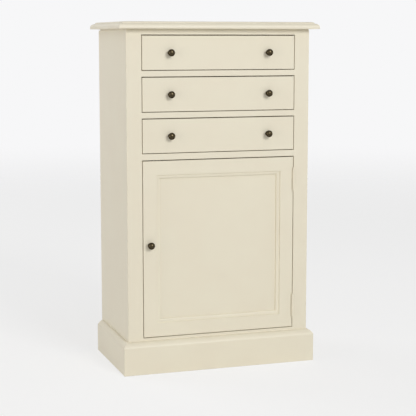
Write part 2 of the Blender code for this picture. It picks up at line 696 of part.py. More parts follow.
def make_catch(plastic):
    """The magnetic catch under the drawer deck, which the strike plate meets."""
    front = FRONT_Y + DOOR_THICKNESS + TOUCH + STRIKE_THICKNESS + TOUCH
    low_x = -OPENING_X + CATCH_INSET
    top = DECK_UNDERSIDE - TOUCH
    board("magnet_catch", (low_x, front, top - CATCH_HEIGHT),
          (low_x + CATCH_WIDTH, front + CATCH_DEPTH, top), plastic,
          eased=lambda middle: abs(middle.x - low_x) < WELD
          or abs(middle.x - low_x - CATCH_WIDTH) < WELD, width=CATCH_EASE)


def knuckle_spans(bottom):
    """The low and high ends of the hinge's knuckles, from the bottom one up."""
    pitch = HINGE_LENGTH / HINGE_KNUCKLES
    return [(bottom + i * pitch + TOUCH / 2, bottom + (i + 1) * pitch - TOUCH / 2)
            for i in range(HINGE_KNUCKLES)]


def make_leaf(name, bottom, sign, material, parent):
    """One hinge leaf with its knuckles. sign is 1 for the frame's leaf and -1 for the door's."""
    near = HINGE_X + sign * LEAF_GAP / 2
    far = near + sign * LEAF_THICKNESS
    low_x, high_x = sorted((near, far))
    back_y = FRONT_Y + DOOR_THICKNESS - LEAF_EDGE_MARGIN
    plate_y = HINGE_Y + KNUCKLE_RADIUS + RUNNING_FIT
    offset = parent.location if parent else Vector()
    inset = TOUCH / 2
    plate = box_mesh(name, Vector((low_x, plate_y, bottom + inset)) - offset,
                     Vector((high_x, back_y, bottom + HINGE_LENGTH - inset)) - offset)
    leaf = place(name, plate, material, parent)
    spans = knuckle_spans(bottom)[0::2] if sign > 0 else knuckle_spans(bottom)[1::2]
    for index, (low, high) in enumerate(spans):
        tag = "%s_%d" % (name, index)
        barrel = cylinder_mesh(tag + "_knuckle", KNUCKLE_RADIUS, low, high, HINGE_X, HINGE_Y,
                               KNUCKLE_SIDES)
        boolean(leaf, place_cutter(tag + "_knuckle", barrel), "UNION")
        boolean(leaf, cutter_box(tag + "_web", (low_x, HINGE_Y, low),
                                 (high_x, plate_y + OVERRUN, high)), "UNION")
    if sign > 0:
        pin = cylinder_mesh(name + "_pin", HINGE_PIN_RADIUS, spans[0][0] + OVERRUN,
                            spans[-1][1] - OVERRUN, HINGE_X, HINGE_Y, KNUCKLE_SIDES)
        boolean(leaf, place_cutter(name + "_pin", pin), "UNION")
    else:
        bore = cylinder_mesh(name + "_bore", HINGE_PIN_RADIUS + PIN_FIT, bottom,
                             bottom + HINGE_LENGTH, HINGE_X, HINGE_Y, KNUCKLE_SIDES)
        boolean(leaf, place_cutter(name + "_bore", bore))
    return leaf


def hinge_pockets(clearance, side):
    """What is cut out of the frame or the door to let in the leaf and the knuckles."""
    tools = []
    for index, bottom in enumerate(HINGE_BOTTOMS):
        low, high = bottom - TOUCH, bottom + HINGE_LENGTH + TOUCH
        name = "%s_pocket_%d" % (side, index)
        round_tool = cylinder_mesh(name + "_round", KNUCKLE_RADIUS + clearance, low, high,
                                   HINGE_X, HINGE_Y, KNUCKLE_SIDES)
        tools.append(place_cutter(name + "_round", round_tool))
        sign = 1 if side == "frame" else -1
        far = HINGE_X + sign * (LEAF_GAP / 2 + LEAF_THICKNESS + TOUCH)
        low_x, high_x = sorted((HINGE_X, far))
        back_y = FRONT_Y + DOOR_THICKNESS - LEAF_EDGE_MARGIN + TOUCH
        tools.append(cutter_box(name + "_gain", (low_x, HINGE_Y, low), (high_x, back_y, high)))
    return tools


def main():
    """Makes every part of the cabinet."""
    clear_scene()
    paint = finish("eggshell_paint", (0.76, 0.70, 0.57), 0.45)
    inner_paint = finish("hinge_paint", (0.74, 0.68, 0.55), 0.4)
    timber = finish("planed_pine", (0.62, 0.45, 0.27), 0.6)
    bronze = finish("aged_bronze", (0.06, 0.045, 0.03), 0.35, 1.0)
    steel = finish("zinc_plated_steel", (0.6, 0.6, 0.58), 0.3, 1.0)
    plastic = finish("brown_plastic", (0.12, 0.07, 0.04), 0.5)

    make_carcass(paint, timber)
    make_face_frame(paint, hinge_pockets(RUNNING_FIT, "frame"))
    make_top(paint)
    make_plinth(paint)
    make_runners(timber)
    for index in range(DRAWER_COUNT):
        make_drawer(DRAWER_COUNT - index, index, paint, timber, bronze)
    door = make_door(paint, bronze, steel, hinge_pockets(DOOR_POCKET_CLEARANCE, "door"))
    make_catch(plastic)
    for place_name, bottom in zip(("lower", "upper"), HINGE_BOTTOMS):
        make_leaf("hinge_%s_frame_leaf" % place_name, bottom, 1, inner_paint, None)
        make_leaf("hinge_%s_door_leaf" % place_name, bottom, -1, inner_paint, door)


main()
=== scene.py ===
# %% [markdown]
# # A painted storage cabinet
# The imported model comes in first. It is the frame that every piece of this lesson is built on:
# a piece goes where its board is, and rides on the body that carries it.

# %% Load the frame
import json
import math
import random

import bmesh
import bpy
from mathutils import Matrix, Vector


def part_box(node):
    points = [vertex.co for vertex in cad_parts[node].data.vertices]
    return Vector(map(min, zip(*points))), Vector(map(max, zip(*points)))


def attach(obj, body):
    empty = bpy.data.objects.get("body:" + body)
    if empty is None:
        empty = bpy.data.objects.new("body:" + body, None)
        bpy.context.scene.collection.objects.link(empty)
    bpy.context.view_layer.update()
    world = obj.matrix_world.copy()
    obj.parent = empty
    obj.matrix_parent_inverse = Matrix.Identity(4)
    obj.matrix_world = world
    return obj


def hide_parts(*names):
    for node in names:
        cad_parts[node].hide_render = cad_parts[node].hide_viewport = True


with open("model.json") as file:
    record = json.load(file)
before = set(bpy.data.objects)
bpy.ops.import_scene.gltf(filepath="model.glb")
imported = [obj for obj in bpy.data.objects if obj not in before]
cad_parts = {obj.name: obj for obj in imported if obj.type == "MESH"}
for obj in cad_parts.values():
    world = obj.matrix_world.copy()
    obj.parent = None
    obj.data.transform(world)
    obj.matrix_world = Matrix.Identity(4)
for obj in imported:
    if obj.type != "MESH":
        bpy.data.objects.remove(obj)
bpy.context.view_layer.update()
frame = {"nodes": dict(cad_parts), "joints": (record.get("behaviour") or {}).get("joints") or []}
MM = 0.001

# %% [markdown]
# The photo is taken from in front and a little to the left, at about the height of the top
# board. A camera is placed by its lens, its stand and its tilt. Here they were worked out from
# where the corners of the top, the drawers, the door and the plinth are in the photo. The lens
# is not shifted, so the cabinet stays in the middle of the picture from every side.

# %% Camera
PHOTO_SIDE = 416
SENSOR_WIDTH = 36
FOCAL_LENGTH_IN_PIXELS = 1235.2
# in metres, from the middle of the cabinet's foot
CAMERA_STAND = (-1.257, -3.8202, 1.0428)
CAMERA_DOWN = math.radians(7.792)
CAMERA_RIGHT = math.radians(18.455)

camera_data = bpy.data.cameras.new("camera")
camera_data.sensor_width = SENSOR_WIDTH
camera_data.lens = FOCAL_LENGTH_IN_PIXELS * SENSOR_WIDTH / PHOTO_SIDE
camera = bpy.data.objects.new("camera", camera_data)
camera.location = CAMERA_STAND
camera.rotation_euler = (math.pi / 2 - CAMERA_DOWN, 0, -CAMERA_RIGHT)
bpy.context.scene.collection.objects.link(camera)
bpy.context.scene.camera = camera
bpy.context.scene.view_settings.view_transform = "Standard"
print("lens: %.1f mm" % camera_data.lens)

# %% [markdown]
# A material is a small machine of nodes. One helper adds a node and sets what is given to it,
# or links it to the node it comes from, so that each finish below reads as a list of its steps.
# Colours are written as a painter's chart has them, in sRGB hex, and turned to linear light.

# %% Helpers for materials
def linear(hex_colour):
    """The linear colour of an sRGB hex value such as #ff8800."""
    shares = [int(hex_colour[i:i + 2], 16) / 255 for i in (1, 3, 5)]
    return (*[s / 12.92 if s <= 0.04045 else ((s + 0.055) / 1.055) ** 2.4 for s in shares], 1)


def give(tree, made, sockets):
    """Gives sockets their values, or links them to an output or to a node's first output."""
    for name, value in sockets.items():
        if isinstance(value, bpy.types.Node):
            value = value.outputs[0]
        if isinstance(value, bpy.types.NodeSocket):
            tree.links.new(value, made.inputs[name])
        else:
            made.inputs[name].default_value = value


def node(tree, kind, sockets=None, stops=(), **settings):
    """Adds a node. A colour ramp's stops are pairs of a position and a hex colour."""
    made = tree.nodes.new("ShaderNode" + kind)
    for name, value in settings.items():
        setattr(made, name, value)
    give(tree, made, sockets or {})
    if stops:
        elements = made.color_ramp.elements
        while len(elements) < len(stops):
            elements.new(0.5)
        for element, (position, colour) in zip(elements, stops):
            element.position, element.color = position, linear(colour)
    return made


def empty_tree(owner):
    """The node tree of a material or of the world, with nothing in it."""
    owner.use_nodes = True
    owner.node_tree.nodes.clear()
    return owner.node_tree


def new_material(name):
    """A material with only a Principled shader in it, ready to be given its pattern."""
    material = bpy.data.materials.new(name)
    tree = empty_tree(material)
    shader = node(tree, "BsdfPrincipled")
    node(tree, "OutputMaterial", {"Surface": shader})
    return material, tree, shader


print("the chart's mid grey in linear light: %.3f" % linear("#808080")[0])

# %% [markdown]
# The studio is a pale sweep with soft light from all round. The floor is a disc that fades out
# before it has an edge, so no horizon shows. What the camera sees of it, and what metal mirrors
# of it, is one third lit paper and two thirds its own pale colour. That keeps the cabinet's
# shadow and keeps the sweep bright, with no more light on the cabinet.

# %% Floor
FLOOR_RADIUS = 9.0
FLOOR_SOLID_RADIUS = 2.2
FLOOR_CLEAR_RADIUS = FLOOR_RADIUS * 0.95
FLOOR_OWN_SHARE = 0.65


def looking_rays(tree):
    """1 for the rays that look at the studio: from the camera, a gloss or through glass."""
    rays = node(tree, "LightPath").outputs
    seen = node(tree, "Math", {0: rays["Is Camera Ray"], 1: rays["Is Glossy Ray"]},
                operation="MAXIMUM")
    return node(tree, "Math", {0: seen, 1: rays["Is Transmission Ray"]}, operation="MAXIMUM")


bpy.ops.object.select_all(action="DESELECT")
bpy.ops.mesh.primitive_circle_add(vertices=96, radius=FLOOR_RADIUS, fill_type="NGON")
floor = bpy.context.object
floor.name = "studio_floor"

floor_material = bpy.data.materials.new("pale_studio_paper")
tree = empty_tree(floor_material)
paper = node(tree, "BsdfDiffuse", {"Color": linear("#f2f2f2")})
glow = node(tree, "Emission", {"Color": linear("#ffffff"), "Strength": 1})
seen_share = node(tree, "Math", {0: looking_rays(tree), 1: FLOOR_OWN_SHARE}, operation="MULTIPLY")
lit = node(tree, "MixShader", {0: seen_share, 1: paper, 2: glow})
away = node(tree, "VectorMath", {0: node(tree, "TexCoord").outputs["Object"]}, operation="LENGTH")
fade = node(tree, "MapRange", {"Value": away.outputs["Value"], "From Min": FLOOR_SOLID_RADIUS,
                               "From Max": FLOOR_CLEAR_RADIUS}, interpolation_type="SMOOTHSTEP")
under = node(tree, "NewGeometry").outputs["Backfacing"]
clear = node(tree, "Math", {0: fade, 1: under}, operation="MAXIMUM")
surface = node(tree, "MixShader", {0: clear, 1: lit, 2: node(tree, "BsdfTransparent")})
node(tree, "OutputMaterial", {"Surface": surface})
floor.data.materials.append(floor_material)
print("floor: fades from %.1f m to %.1f m" % (FLOOR_SOLID_RADIUS, FLOOR_CLEAR_RADIUS))

# %% [markdown]
# Past the floor there is only the world's light. A ray that looks at it sees a near white. The
# cabinet itself is lit by a weaker one, which lifts its shadows a little and no more.

# %% Surroundings
SURROUND_COLOUR = "#f7f7f8"
AMBIENT_STRENGTH = 0.36

world = bpy.data.worlds.new("studio")
bpy.context.scene.world = world
tree = empty_tree(world)
ambient = node(tree, "Background", {"Color": (1, 1, 1, 1), "Strength": AMBIENT_STRENGTH})
seen = node(tree, "Background", {"Color": linear(SURROUND_COLOUR), "Strength": 1})
both = node(tree, "MixShader", {0: looking_rays(tree), 1: ambient, 2: seen})
node(tree, "OutputWorld", {"Surface": both})
print("surroundings: %s, with ambient light of %.2f" % (SURROUND_COLOUR, AMBIENT_STRENGTH))

# %% [markdown]
# The photo's knobs throw a short soft shadow down and to the left, so the strongest lamp stands
# in front, a little to the right and above. It is far away: a near one would leave the plinth
# darker than the drawers. Broad low lamps fill the sides, one fills the back, and a weak high
# one lifts the flat of the top. The left side looks warm in the photo, so its lamp is too.

# %% Lamps
LAMPS_AIM_AT = Vector((0, -0.1, 0.6))


def lamp(name, azimuth, elevation, distance, size, power, colour="#ffffff"):
    """A square soft lamp. Azimuth 0 is straight in front of the cabinet and 90 on its right."""
    turn, rise = math.radians(azimuth), math.radians(elevation)
    away = Vector((math.sin(turn) * math.cos(rise), -math.cos(turn) * math.cos(rise),
                   math.sin(rise)))
    data = bpy.data.lights.new(name, "AREA")
    data.shape, data.size, data.energy = "SQUARE", size, power
    data.color = linear(colour)[:3]
    stood = bpy.data.objects.new(name, data)
    stood.location = LAMPS_AIM_AT + away * distance
    stood.rotation_euler = (-away).to_track_quat("-Z", "Y").to_euler()
    stood.visible_camera = False
    bpy.context.scene.collection.objects.link(stood)
    print("%s: %d W, %.1f m away" % (name, power, distance))


# each lamp's azimuth and elevation in degrees, distance and width in metres, and watts
lamp("key_lamp", 14, 25, 9.0, 2.7, 330)
lamp("top_lamp", 20, 62, 5.0, 1.6, 10)
lamp("left_fill", -72, 3, 8.0, 4.0, 128, "#fff6e8")
lamp("right_fill", 84, 3, 8.0, 4.0, 80)
lamp("back_fill", -140, 35, 5.0, 2.5, 50)

# %% [markdown]
# The cabinet is sprayed with a water-based eggshell over primed hardwood and board. Sprayed
# paint has almost no pattern: its colour clouds a little over a hand's breadth and its skin has
# a fine orange peel, about a millimetre across. That is too fine for this picture, so it is
# drawn 4 mm across and very low. The gloss is soft, and the peel breaks it up a little more.
# The flat of the top is wiped and leaned on, so there the gloss is nearly gone: seen from a low
# angle it doesn't flash white.

# %% Eggshell paint
PAINT_LIGHT = "#e9e2cd"
PAINT_DARK = "#e8e0cb"
CLOUDS_PER_METRE = 9
PEEL_WIDTH = 4 * MM
PEEL_HEIGHT = 0.05 * MM
EGGSHELL_ROUGHNESS = 0.38
RUBBED_DULL_ROUGHNESS = 0.75
PEEL_ADDS_ROUGHNESS = 0.06


def eggshell_paint(name, roughness=EGGSHELL_ROUGHNESS, peel_height=PEEL_HEIGHT):
    """Sprayed eggshell paint whose colour clouds between two near tones."""
    material, tree, shader = new_material(name)
    point = node(tree, "TexCoord").outputs["Object"]
    clouds = node(tree, "TexNoise", {"Vector": point, "Scale": CLOUDS_PER_METRE, "Detail": 2})
    tones = node(tree, "ValToRGB", {"Fac": clouds}, ((0.35, PAINT_DARK), (0.65, PAINT_LIGHT)))
    peel = node(tree, "TexNoise", {"Vector": point, "Scale": 1 / PEEL_WIDTH, "Detail": 1})
    gloss = node(tree, "MapRange", {"Value": peel, "From Min": 0.3, "From Max": 0.7,
                                    "To Min": roughness,
                                    "To Max": roughness + PEEL_ADDS_ROUGHNESS})
    skin = node(tree, "Bump", {"Height": peel, "Strength": 0.25, "Distance": peel_height})
    give(tree, shader, {"Base Color": tones, "Roughness": gloss, "Normal": skin})
    return material


cream = eggshell_paint("cream_eggshell")
dull_cream = eggshell_paint("cream_eggshell_rubbed_dull", RUBBED_DULL_ROUGHNESS)
print("paints:", cream.name, dull_cream.name)

# %% [markdown]
# Inside, the cabinet is planed pine, left pale. A pine board shows its year rings, each a pale
# early band that darkens slowly and ends in a sharp line. The rings are tubes round the heart
# of the tree. A board is a slice beside that heart, and as the trunk tapers the rings leave
# the board in long arches. So the pattern is rings round an axis along the grain. Where the
# heart lies is a matter of each board: every piece stores where its points are in its own
# board, and the material reads that. A wide panel is glued up from staves, each with a heart
# of its own. Real rings are 2 to 4 mm apart. Here they are 6 mm, because finer ones would
# only flicker in a picture of this size.

# %% Planed pine and birch plywood
GRAIN_STRETCH = 12
BENDS_PER_METRE = 18
BEND_REACH = 30 * MM
FIBRES_PER_METRE = 500
FIBRE_HEIGHT = 0.12 * MM
PLANED_ROUGHNESS = 0.55
PINE_RING = 6 * MM
VENEER_RING = 11 * MM
STAVE_WIDTH = 72 * MM
# how far apart the hearts of two staves can lie: across, through and along the board
STAVE_HEARTS_APART = (60 * MM, 60 * MM, 2)
# a wave texture's rings are this far apart at scale 1
WAVE_PERIOD = math.pi / 10


def timber(name, tones, ring_width, fibre_share, staves=False):
    """Planed timber. Its tones go from the pale early wood to the dark line of a ring."""
    material, tree, shader = new_material(name)
    place = node(tree, "Attribute", attribute_name="place_in_board").outputs["Vector"]
    if staves:
        split = node(tree, "SeparateXYZ", {"Vector": place}).outputs
        strip = node(tree, "Math", {0: split["X"], 1: STAVE_WIDTH}, operation="DIVIDE")
        number = node(tree, "Math", {0: strip}, operation="FLOOR")
        share = node(tree, "Math", {0: strip, 1: number}, operation="SUBTRACT")
        across = node(tree, "Math", {0: share, 1: STAVE_WIDTH, 2: -STAVE_WIDTH / 2},
                      operation="MULTIPLY_ADD")
        own = node(tree, "CombineXYZ", {"X": across, "Y": split["Y"], "Z": split["Z"]})
        dice = node(tree, "TexWhiteNoise", {"W": number}, noise_dimensions="1D")
        place = node(tree, "VectorMath", {0: dice.outputs["Color"], 1: STAVE_HEARTS_APART, 2: own},
                     operation="MULTIPLY_ADD")
    drawn = node(tree, "VectorMath", {0: place, 1: (1, 1, 1 / GRAIN_STRETCH)},
                 operation="MULTIPLY")
    bent = node(tree, "TexNoise", {"Vector": drawn, "Scale": BENDS_PER_METRE, "Detail": 2})
    wavy = node(tree, "VectorMath", {0: bent.outputs["Color"], 1: (BEND_REACH, BEND_REACH, 0),
                                     2: drawn}, operation="MULTIPLY_ADD")
    rings = node(tree, "TexWave", {"Vector": wavy, "Scale": WAVE_PERIOD / ring_width},
                 wave_type="RINGS", rings_direction="Z", wave_profile="SAW")
    fibres = node(tree, "TexNoise", {"Vector": drawn, "Scale": FIBRES_PER_METRE, "Detail": 2})
    mixed = node(tree, "Mix", {0: fibre_share, 2: rings.outputs["Fac"], 3: fibres},
                 data_type="FLOAT")
    colour = node(tree, "ValToRGB", {"Fac": mixed}, list(zip((0.15, 0.55, 0.8), tones)))
    skin = node(tree, "Bump", {"Height": fibres, "Strength": 0.3, "Distance": FIBRE_HEIGHT})
    give(tree, shader, {"Base Color": colour, "Roughness": PLANED_ROUGHNESS, "Normal": skin})
    return material


PINE_TONES = ("#eacfa0", "#e0bd88", "#c89a60")
BIRCH_TONES = ("#e6d2ab", "#dfc79c", "#d3b687")
pine = timber("planed_pine_board", PINE_TONES, PINE_RING, 0.3)
glued_pine = timber("glued_pine_panel", PINE_TONES, PINE_RING, 0.3, staves=True)
birch = timber("birch_plywood", BIRCH_TONES, VENEER_RING, 0.45)
print("timbers:", pine.name, glued_pine.name, birch.name)

# %% [markdown]
# A mesh says where a point is in the cabinet, and not where it was in its tree. So each board is
# given a heart of its own, a little beside its middle and below it, and a taper, and every point
# of its mesh stores how far it is from there. The dice are seeded with the board's name, so each
# board keeps its own grain however often the script runs.

# %% Grain of one board
HEART_ASIDE = 30 * MM
HEART_BELOW = (15 * MM, 60 * MM)
HEART_ALONG = 3
TRUNK_TAPER = (0.05, 0.09)


def lay_grain(board, axes):
    """Stores each point's place in its board. axes names across, through and along it."""
    dice = random.Random(board.name)
    heart = (dice.uniform(-HEART_ASIDE, HEART_ASIDE), dice.uniform(*HEART_BELOW),
             dice.uniform(0, HEART_ALONG))
    taper = dice.choice((-1, 1)) * dice.uniform(*TRUNK_TAPER)
    points = [vertex.co for vertex in board.data.vertices]
    middle = sum(points, Vector()) / len(points)
    stored = board.data.attributes.new("place_in_board", "FLOAT_VECTOR", "POINT")
    for item, point in zip(stored.data, points):
        across, through, along = (point["xyz".index(a)] - middle["xyz".index(a)] for a in axes)
        item.vector = (across + heart[0], through + heart[1] + along * taper, along + heart[2])


print("hearts lie up to %d mm below a board" % (HEART_BELOW[1] / MM))

# %% [markdown]
# The knobs are bronze, polished and then darkened with an oiled patina. What gives the eye is
# that they are nearly black, yet each shows the lamp as a small warm spot: a smooth metal with a
# very dark brown colour. Rubbed places are a little lighter, and the patina is blotched over 3 to
# 5 mm. The screws, the shelf pins and the strike plate are zinc-plated steel: pale grey, half
# dull, and mottled in the same way. The hinges wear the cabinet's paint, smoother on the steel.

# %% Metals
# a bare metal's edge goes white where it turns away, a patinated one stays dark there
PATINA_EDGE = "#3a3428"
BLOTCH_WIDTH = 4 * MM
BLOTCH_HEIGHT = 0.02 * MM
GLOSS_SPREAD_SHARE = 0.2
PEEL_HEIGHT_ON_STEEL = 0.04 * MM


def metal(name, low, high, roughness, edge="#ffffff"):
    """A metal whose colour and gloss are blotched."""
    material, tree, shader = new_material(name)
    blotches = node(tree, "TexNoise", {"Vector": node(tree, "TexCoord").outputs["Object"],
                                       "Scale": 1 / BLOTCH_WIDTH, "Detail": 2})
    colour = node(tree, "ValToRGB", {"Fac": blotches}, ((0.3, low), (0.7, high)))
    gloss = node(tree, "MapRange", {"Value": blotches,
                                    "To Min": roughness * (1 - GLOSS_SPREAD_SHARE),
                                    "To Max": roughness * (1 + GLOSS_SPREAD_SHARE)})
    skin = node(tree, "Bump", {"Height": blotches, "Strength": 0.2, "Distance": BLOTCH_HEIGHT})
    give(tree, shader, {"Base Color": colour, "Metallic": 1, "Roughness": gloss, "Normal": skin,
                        "Specular Tint": linear(edge)})
    return material


bronze = metal("dark_patinated_bronze", "#423929", "#4c4434", 0.12, edge=PATINA_EDGE)
zinc = metal("zinc_plated_steel", "#b9b9b4", "#cfcfcb", 0.32)
hinge_cream = eggshell_paint("cream_eggshell_on_steel", peel_height=PEEL_HEIGHT_ON_STEEL)
print("metals:", bronze.name, zinc.name, hinge_cream.name)

# %% [markdown]
# The case of the door's catch is moulded plastic, a plain brown. Its mould was spark-eroded, so
# the skin is finely pitted and its gloss is broken. The real pits are a tenth of a millimetre
# wide. Here they are 1.2 mm, or they wouldn't show at all.

# %% Moulded plastic
PIT_WIDTH = 1.2 * MM
PIT_DEPTH = 0.05 * MM

brown_plastic, tree, shader = new_material("brown_moulded_plastic")
pits = node(tree, "TexNoise", {"Vector": node(tree, "TexCoord").outputs["Object"],
                               "Scale": 1 / PIT_WIDTH, "Detail": 1})
shade = node(tree, "ValToRGB", {"Fac": pits}, ((0.3, "#4d3220"), (0.7, "#573a26")))
skin = node(tree, "Bump", {"Height": pits, "Strength": 0.4, "Distance": PIT_DEPTH})
give(tree, shader, {"Base Color": shade, "Roughness": 0.5, "Normal": skin})
print("plastic:", brown_plastic.name)

# %% [markdown]
# Every board starts as a cube added at its size and place. Then faces or edges are picked by
# where they are, as a hand would click them, and an edit tool works on what is picked. These
# helpers do the picking, so that the pieces below say only what is done with them.

# %% Picking by place
SAME_PLACE = 0.01 * MM
# a direction lies along an axis if this much of it does
ALONG_SHARE = 0.9


def drop_selection():
    """Leaves edit mode and selects nothing, so that the next piece starts clean."""
    if bpy.context.object and bpy.context.object.mode == "EDIT":
        bpy.ops.object.mode_set(mode="OBJECT")
    bpy.ops.object.select_all(action="DESELECT")


def only(piece):
    """Selects this piece and nothing else."""
    drop_selection()
    piece.select_set(True)
    bpy.context.view_layer.objects.active = piece


def edit(piece):
    """Opens the piece in edit mode, with its mesh as bmesh."""
    only(piece)
    bpy.ops.object.mode_set(mode="EDIT")
    return bmesh.from_edit_mesh(piece.data)


def pick(piece, kind, wanted):
    """In edit mode, selects the faces or the edges that are wanted, and nothing else."""
    shape = edit(piece)
    bpy.ops.mesh.select_mode(type=kind)
    bpy.ops.mesh.select_all(action="DESELECT")
    for part in shape.faces if kind == "FACE" else shape.edges:
        part.select_set(wanted(part))
    bmesh.update_edit_mesh(piece.data)


def pick_faces(piece, wanted):
    """Selects the faces for which wanted(centre, normal) is true."""
    pick(piece, "FACE", lambda face: wanted(face.calc_center_median(), face.normal))


def pick_edges(piece, wanted):
    """Selects the edges for which wanted(middle, direction) is true."""
    def asked(edge):
        start, end = edge.verts[0].co, edge.verts[1].co
        return wanted((start + end) / 2, (end - start).normalized())

    pick(piece, "EDGE", asked)


def near(a, b):
    """True if two places on an axis are the same."""
    return abs(a - b) < SAME_PLACE


print("places are the same within %.2f mm" % (SAME_PLACE / MM))

# %% [markdown]
# The next helpers move an object's place into its mesh, make a block, round its edges, draw out
# what is picked and finish the piece. A finished piece is smooth over its rounds and flat on its
# flats, has its material, rides on the body that carries it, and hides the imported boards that
# it stands for. Where some of its faces have another finish, they are covered last.

# %% Making and finishing a piece
SMOOTH_BELOW_DEGREES = 35


def place_in_mesh():
    """Moves an object's place, turn and size into its mesh, and leaves it at the origin."""
    bpy.ops.object.transform_apply(location=True, rotation=True, scale=True)


def block(name, low, high):
    """A cube stretched between two corners."""
    low, high = Vector(low), Vector(high)
    drop_selection()
    bpy.ops.mesh.primitive_cube_add(size=1, location=(low + high) / 2)
    made = bpy.context.object
    made.name = name
    made.scale = high - low
    place_in_mesh()
    return made


def round_edges(piece, width, segments, wanted):
    """Rounds the picked edges."""
    pick_edges(piece, wanted)
    bpy.ops.mesh.bevel(offset=width, segments=segments, affect="EDGES")


def grow(x=0, y=0, z=0):
    """Extrudes what is picked."""
    bpy.ops.mesh.extrude_region_move(TRANSFORM_OT_translate={"value": (x, y, z)})


def settle(piece, body, nodes, material, angle=SMOOTH_BELOW_DEGREES):
    """Smooths the piece's rounds but not its flats, dresses it and puts it on its body."""
    only(piece)
    bpy.ops.object.shade_smooth_by_angle(angle=math.radians(angle))
    weighted = piece.modifiers.new("flat_faces_stay_flat", "WEIGHTED_NORMAL")
    weighted.keep_sharp = True
    bpy.ops.object.modifier_apply(modifier=weighted.name)
    piece.data.materials.clear()
    piece.data.materials.append(material)
    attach(piece, body)
    if nodes:
        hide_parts(*nodes)
    print("%s: %d faces" % (piece.name, len(piece.data.polygons)))


def cover(piece, material, wanted):
    """Gives another material to the faces for which wanted(centre, normal) is true."""
    piece.data.materials.append(material)
    for face in piece.data.polygons:
        face.material_index = int(wanted(face.center, face.normal))


print("rounds are smooth where they turn by less than %d degrees" % SMOOTH_BELOW_DEGREES)

# %% [markdown]
# The top is one board with a moulding run round all four edges: a small round, a step and a
# large round that ends in a nose. A moulding plane cuts the same line on every edge and the
# lines meet in mitres. Inset does just that to a face, so the board starts as a thin slab as
# large as the nose, and each inset climbs one facet of the moulding. Below, a thinner bed
# stands in from the carcass and leaves the dark line under the top.

# %% Moulded top
NOSE_ROUND = (11.5 * MM, 12 * MM)
STEP_LEDGE = 1.5 * MM
STEP_RISE = 1 * MM
TOP_ROUND = (10 * MM, 4.3 * MM)
TOP_ARRIS = 0.3 * MM
UNDERSIDE_ROUND = 1.2 * MM
SHADOW_BED = 4 * MM
SHADOW_SETBACK = 1.5 * MM
# a face with this much of its normal upwards is part of the flat that is wiped and leaned on
FLAT_SHARE = 0.97


def climb_round(width, height, steps):
    """Insets a face up a quarter ellipse that starts upright and ends flat."""
    turns = [math.pi / 2 * step / steps for step in range(steps + 1)]
    for a, b in zip(turns, turns[1:]):
        bpy.ops.mesh.inset(thickness=width * (math.cos(a) - math.cos(b)),
                           depth=height * (math.sin(b) - math.sin(a)))


low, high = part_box("top_board")
carcass_low, carcass_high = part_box("stile_left")
carcass_top = carcass_high.z
underside = carcass_top + SHADOW_BED
nose_low = underside + UNDERSIDE_ROUND
nose_high = high.z - TOP_ROUND[1] - STEP_RISE - NOSE_ROUND[1]
top = block("moulded_top", (low.x, low.y, nose_low), (high.x, high.y, nose_high))
pick_faces(top, lambda centre, normal: normal.z > ALONG_SHARE)
climb_round(*NOSE_ROUND, steps=10)
bpy.ops.mesh.inset(thickness=STEP_LEDGE)
grow(z=STEP_RISE)
climb_round(*TOP_ROUND, steps=8)
pick_faces(top, lambda centre, normal: normal.z < -ALONG_SHARE)
climb_round(UNDERSIDE_ROUND, UNDERSIDE_ROUND, steps=4)
bpy.ops.mesh.inset(thickness=carcass_low.x - low.x - UNDERSIDE_ROUND + SHADOW_SETBACK)
grow(z=carcass_top - underside)
round_edges(top, TOP_ARRIS, 1, lambda middle, way: near(middle.z, high.z - TOP_ROUND[1]))
settle(top, "carcass", ["top_board"], cream)
cover(top, dull_cream, lambda centre, normal: normal.z > FLAT_SHARE)
print("top: %.1f mm thick" % ((high.z - underside) / MM))

# %% [markdown]
# The face frame is two stiles with five rails glued between them, then filled, rubbed down and
# painted as one, so no joint shows. It starts as one board, and cuts across it mark the
# openings. Then each opening loses its front and back face, and a bridge between the two holes
# makes its walls. The front arrises are rubbed round by about a millimetre, which draws a soft
# pale line.

# %% Board of the face frame
RAILS = ["rail_bottom", "rail_middle", "rail_drawers_lower", "rail_drawers_upper", "rail_top"]
side_low, side_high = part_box("side_panel_left")
front_y = carcass_low.y
opening_x = -carcass_high.x
rail_spans = [(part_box(name)[0].z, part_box(name)[1].z) for name in RAILS]
openings = [(below[1], above[0]) for below, above in zip(rail_spans, rail_spans[1:])]

face_frame = block("painted_face_frame", (carcass_low.x, front_y, 0),
                   (-carcass_low.x, side_low.y, carcass_top))
foot_z = rail_spans[0][0]
levels = [foot_z] + [z for opening in openings for z in opening]
edit(face_frame)
for x in (-opening_x, opening_x):
    bpy.ops.mesh.select_all(action="SELECT")
    bpy.ops.mesh.bisect(plane_co=(x, 0, 0), plane_no=(1, 0, 0))
for z in levels:
    bpy.ops.mesh.select_all(action="SELECT")
    bpy.ops.mesh.bisect(plane_co=(0, 0, z), plane_no=(0, 0, 1))
print("board of the frame: %d faces" % len(bmesh.from_edit_mesh(face_frame.data).faces))

# %% [markdown]
# Now the openings. The part between the feet of the stiles goes as well, and its three open
# sides are filled. The walls made by a bridge may point either way, so all normals are turned
# outwards before the arrises are rounded.

# %% Openings of the face frame
FRAME_ARRIS = 1 * MM
# places no further apart than this count as beside each other
SLACK = 1 * MM


def bridge_holes(piece, low_z, high_z):
    """Joins the two holes in a piece, between two levels, with walls from edge to edge."""
    pick(piece, "EDGE", lambda edge: edge.is_boundary and all(
        low_z - SAME_PLACE < vertex.co.z < high_z + SAME_PLACE for vertex in edge.verts))
    bpy.ops.mesh.bridge_edge_loops()


def turn_outwards(piece):
    """Turns every face of a closed piece outwards."""
    edit(piece)
    bpy.ops.mesh.select_all(action="SELECT")
    bpy.ops.mesh.normals_make_consistent(inside=False)


